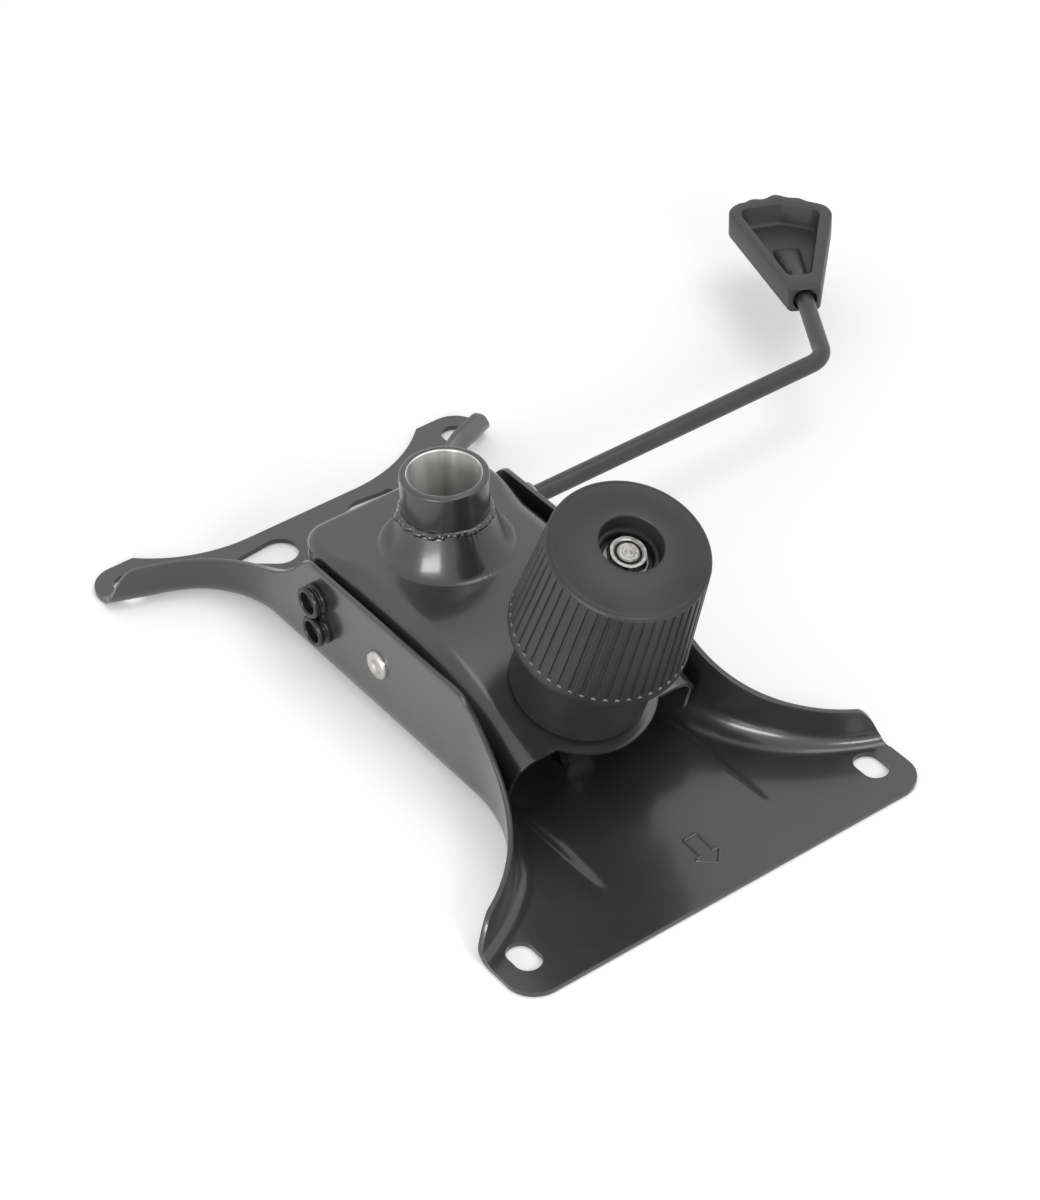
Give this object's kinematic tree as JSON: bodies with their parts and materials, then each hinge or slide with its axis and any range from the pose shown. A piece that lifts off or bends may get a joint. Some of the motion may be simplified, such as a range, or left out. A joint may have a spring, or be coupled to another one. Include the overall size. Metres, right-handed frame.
{
  "type": "office chair tilt mechanism",
  "caption": "Under-seat tilt mechanism for an office chair: pressed seat plate, tilting housing with column socket, tension knob over a spring, and a side lever for height.",
  "frame": {"origin": "centre of the four seat slots, on the face that lies against the seat", "axes": "+X to the chair's front, +Y towards the lever, +Z away from the seat, up in the picture"},
  "size_m": [0.2931, 0.365, 0.127],
  "materials": {
    "black_paint": "gloss",
    "socket_steel": "satin",
    "zinc": "satin",
    "steel": "satin",
    "black_plastic": "matte",
    "nylon": "matte",
    "rubber": "matte"
  },
  "bodies": {
    "seat": {"seat_plate": "black_paint", "near_bush": "black_plastic", "far_bush": "black_plastic", "pivot_pin": "zinc", "anchor_lugs": "black_paint", "anchor_pin": "steel", "anchor_clips": "steel", "upright_stops": "rubber", "recline_stops": "rubber"},
    "housing": {"tilt_housing": "black_paint", "gas_lift_tube": "socket_steel", "weld_bead": "black_paint", "pivot_bushes": "nylon", "spring_sleeve": "black_plastic", "spring_seat": "steel", "tension_spring": "steel"},
    "bolt": {"tension_bolt": "zinc"},
    "feed": {"thrust_washer": "steel"},
    "knob": {"tension_knob": "black_plastic", "knob_nut": "zinc"},
    "lever": {"lever_rod": "black_paint", "lever_paddle": "black_plastic", "release_arm": "steel", "lever_clips": "steel"}
  },
  "joints": [
    {"name": "tilt", "type": "hinge", "parent": "seat", "child": "housing", "pos_m": [-0.0035, 0, 0.0288], "axis": [0, -1, 0], "range_deg": [0, 12], "stiffness_Nm_per_rad": 40, "springref_deg": -8.59, "deforming": ["tension_spring"]},
    {"name": "bolt_swing", "type": "hinge", "parent": "seat", "child": "bolt", "pos_m": [0.0482, 0, 0.011], "axis": [0, -1, 0], "range_deg": [0, 10.76], "deforming": ["tension_spring"]},
    {"name": "knob_feed", "type": "slide", "parent": "bolt", "child": "feed", "axis": [-0.3502, 0, -0.9367], "range_m": [0, 0.0113], "deforming": ["tension_spring"]},
    {"name": "knob_turn", "type": "hinge", "parent": "feed", "child": "knob", "pos_m": [0.05762, 0, 0.03619], "axis": [-0.3502, 0, -0.9367], "range_deg": [0, 3240], "deforming": ["tension_spring"]},
    {"name": "lever_lift", "type": "hinge", "parent": "seat", "child": "lever", "pos_m": [-0.042, 0, 0.0356], "axis": [0, -1, 0], "range_deg": [0, 12]}
  ],
  "couplings": [
    {"joint": "bolt_swing", "follows": "tilt", "ratio": 0.8882},
    {"joint": "knob_feed", "follows": "knob_turn", "m_per_rad": 0.00019894}
  ]
}
